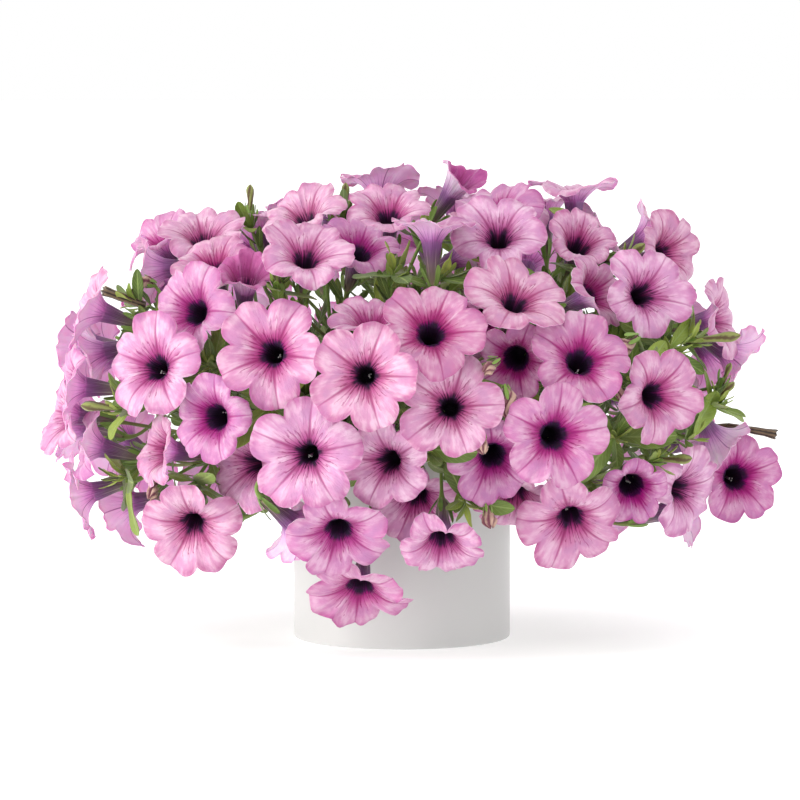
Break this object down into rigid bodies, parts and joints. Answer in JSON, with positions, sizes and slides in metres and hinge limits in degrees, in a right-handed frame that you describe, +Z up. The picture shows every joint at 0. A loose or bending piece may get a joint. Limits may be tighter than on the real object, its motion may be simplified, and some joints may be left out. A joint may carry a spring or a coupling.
{
  "type": "petunia plant in a standing cylinder pot",
  "caption": "Mounded petunia in full bloom, planted in a plain white cylinder pot that stands on its flat base.",
  "frame": {"origin": "centre of the pot's flat base", "axes": "+Z up along the pot's axis, the side shown in the picture faces -Y, +X to the right of that view"},
  "size_m": [0.4425, 0.4169, 0.2858],
  "materials": {
    "glazed_pot": "smooth white satin glaze",
    "potting_mix": "crumbly dark peat and bark mix",
    "foliage": "soft green leaves, stems and buds",
    "petals": "matt pink petals with a dark plum throat and veins"
  },
  "bodies": {
    "root": {"bloom_bunch_01": "petals", "bloom_bunch_02": "petals", "bloom_bunch_03": "petals", "bloom_bunch_04": "petals", "bloom_bunch_05": "petals", "bloom_bunch_06": "petals", "bloom_bunch_07": "petals", "bloom_bunch_08": "petals", "bloom_bunch_09": "petals", "bloom_bunch_10": "petals", "bloom_bunch_11": "petals", "bloom_bunch_12": "petals", "bloom_bunch_13": "petals", "bloom_bunch_14": "petals", "bloom_bunch_15": "petals", "bloom_bunch_16": "petals", "bloom_bunch_17": "petals", "bloom_bunch_18": "petals", "bloom_bunch_19": "petals", "bloom_bunch_20": "petals", "bloom_bunch_21": "petals", "bloom_bunch_22": "petals", "bloom_bunch_23": "petals", "bloom_bunch_24": "petals", "bloom_bunch_25": "petals", "bloom_bunch_26": "petals", "bloom_bunch_27": "petals", "bloom_bunch_28": "petals", "bloom_bunch_29": "petals", "bloom_bunch_30": "petals", "bloom_bunch_31": "petals", "bloom_bunch_32": "petals", "bloom_bunch_33": "petals", "bloom_bunch_34": "petals", "bloom_bunch_35": "petals", "bloom_bunch_36": "petals", "bloom_bunch_37": "petals", "bloom_bunch_38": "petals", "bloom_bunch_39": "petals", "bloom_bunch_40": "petals", "bloom_bunch_41": "petals", "bloom_bunch_42": "petals", "bloom_bunch_43": "petals", "leafy_stem_01": "foliage", "leafy_stem_02": "foliage", "leafy_stem_03": "foliage", "leafy_stem_04": "foliage", "leafy_stem_05": "foliage", "leafy_stem_06": "foliage", "leafy_stem_07": "foliage", "leafy_stem_08": "foliage", "leafy_stem_09": "foliage", "leafy_stem_10": "foliage", "leafy_stem_11": "foliage", "leafy_stem_12": "foliage", "leafy_stem_13": "foliage", "leafy_stem_14": "foliage", "pot": "glazed_pot", "potting_mix": "potting_mix"}
  },
  "joints": []
}
